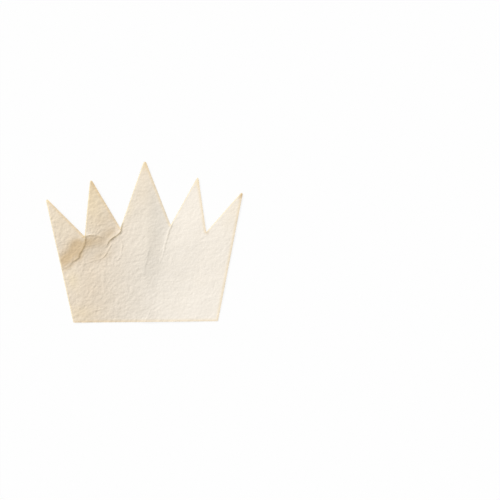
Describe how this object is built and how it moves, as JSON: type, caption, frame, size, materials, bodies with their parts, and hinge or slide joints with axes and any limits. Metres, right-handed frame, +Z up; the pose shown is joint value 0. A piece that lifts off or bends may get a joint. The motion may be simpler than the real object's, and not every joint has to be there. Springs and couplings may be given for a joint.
{
  "type": "tissue paper crown",
  "caption": "Flat crown cut from a sheet of cream tissue paper, with a row of sharp points along the top, a straight base edge and pinched creases; a paper craft cut-out.",
  "frame": {"origin": "middle of the outline's box, on the surface that the sheet lies on", "axes": "+X along the base edge towards its right end, +Y from the base edge towards the points, +Z up out of the sheet's front"},
  "size_m": [0.098, 0.0804, 0.0017],
  "materials": {
    "creased_paper": "matt cream tissue paper, creased, tanner on the left and paler on the right"
  },
  "bodies": {
    "root": {"paper_crown": "creased_paper"}
  },
  "joints": []
}
